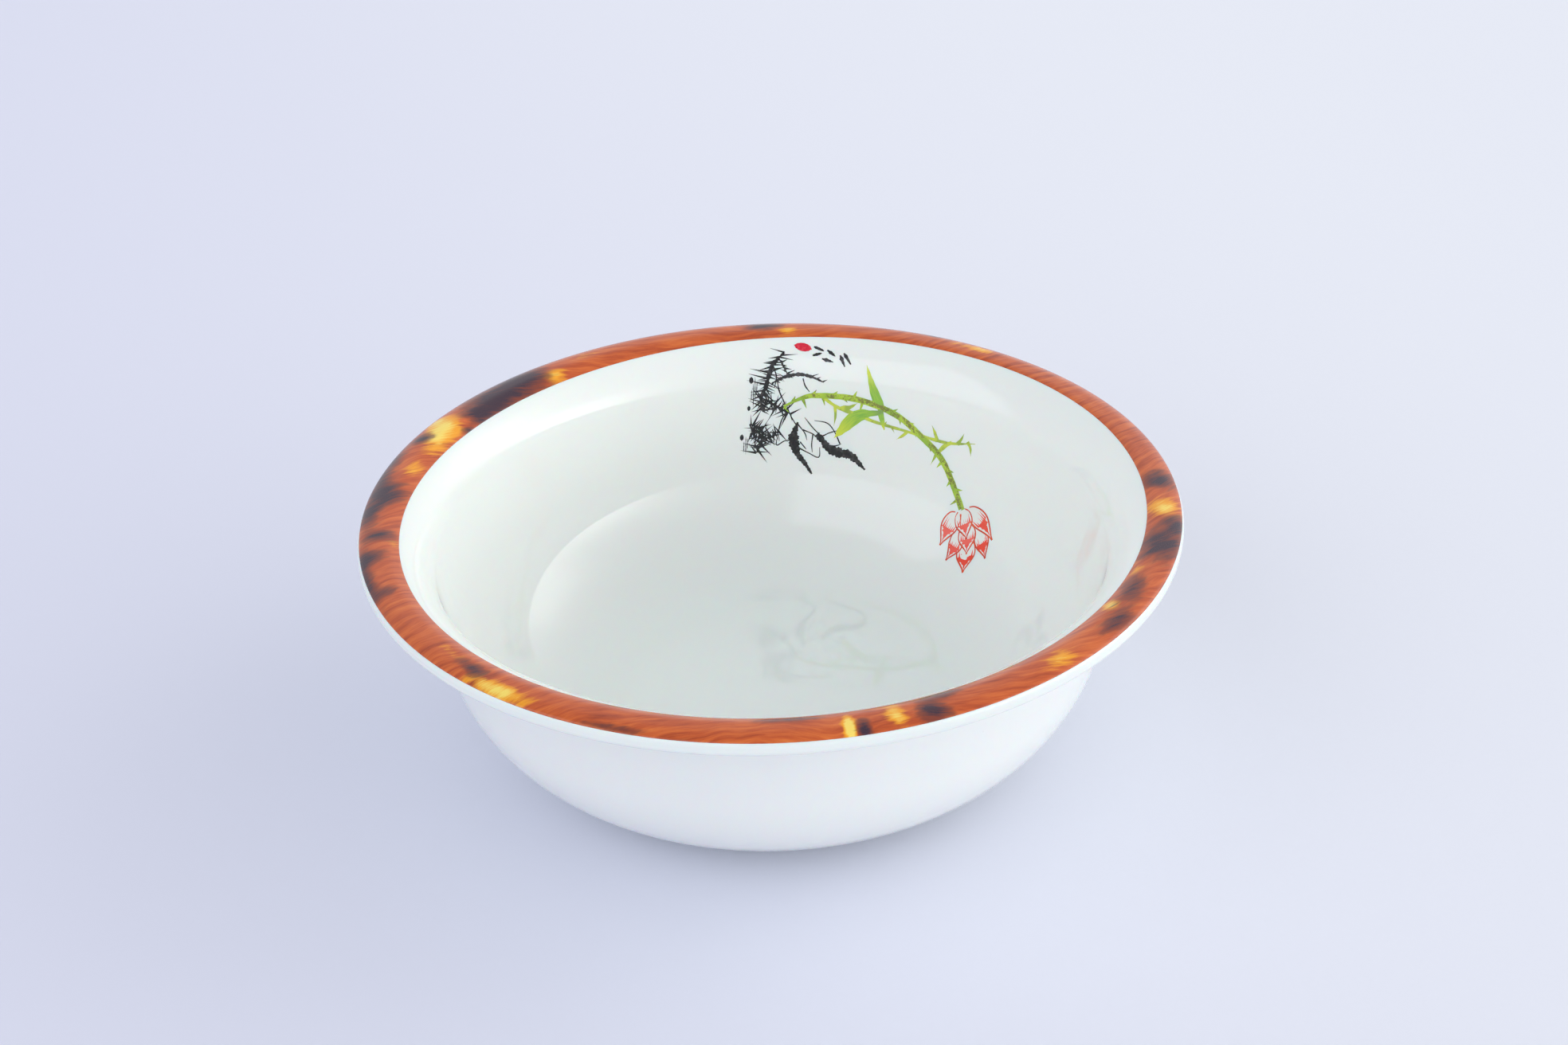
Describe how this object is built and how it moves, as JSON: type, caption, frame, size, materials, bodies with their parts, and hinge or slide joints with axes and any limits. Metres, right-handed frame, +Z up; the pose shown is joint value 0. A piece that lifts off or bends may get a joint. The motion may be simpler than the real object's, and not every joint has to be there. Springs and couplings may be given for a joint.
{
  "type": "rimmed soup bowl",
  "caption": "Flared-rim soup bowl of white opal glass on a foot ring, with a tortoiseshell enamel band over the lip and a lotus-and-ink print inside the well.",
  "frame": {"origin": "on the bowl's axis in the plane that the foot ring stands on", "axes": "+Z up along the axis of revolution; the printed motif is on the +Y side of the well; +X is to the right seen from the -Y side"},
  "size_m": [0.203, 0.203, 0.0661],
  "materials": {
    "opal_glass": "very glossy white opal glass with a faint blue-green tint, fire polished",
    "band_enamel": "glossy fired enamel in tortoiseshell amber, orange-red and purple-brown with fine grain",
    "red_line_enamel": "fired rust-red line enamel",
    "coral_enamel": "fired coral-red enamel shading to scarlet",
    "white_enamel": "fired translucent white enamel",
    "leaf_enamel": "fired leaf-green enamel shading to yellow at the tips",
    "stem_enamel": "fired green enamel mottled with brown-olive",
    "twig_enamel": "fired yellow-green enamel",
    "ink_enamel": "fired black ink enamel",
    "seal_enamel": "fired crimson enamel"
  },
  "bodies": {
    "root": {"bowl_body": "opal_glass", "rim_band": "band_enamel", "petal_outline_print": "red_line_enamel", "petal_tip_print": "coral_enamel", "petal_fill_print": "white_enamel", "leaf_print": "leaf_enamel", "stem_print": "stem_enamel", "twig_print": "twig_enamel", "ink_insect_print": "ink_enamel", "ink_foliage_print": "ink_enamel", "ink_dot_print": "ink_enamel", "seal_print": "seal_enamel", "brush_mark_print": "ink_enamel"}
  },
  "joints": []
}
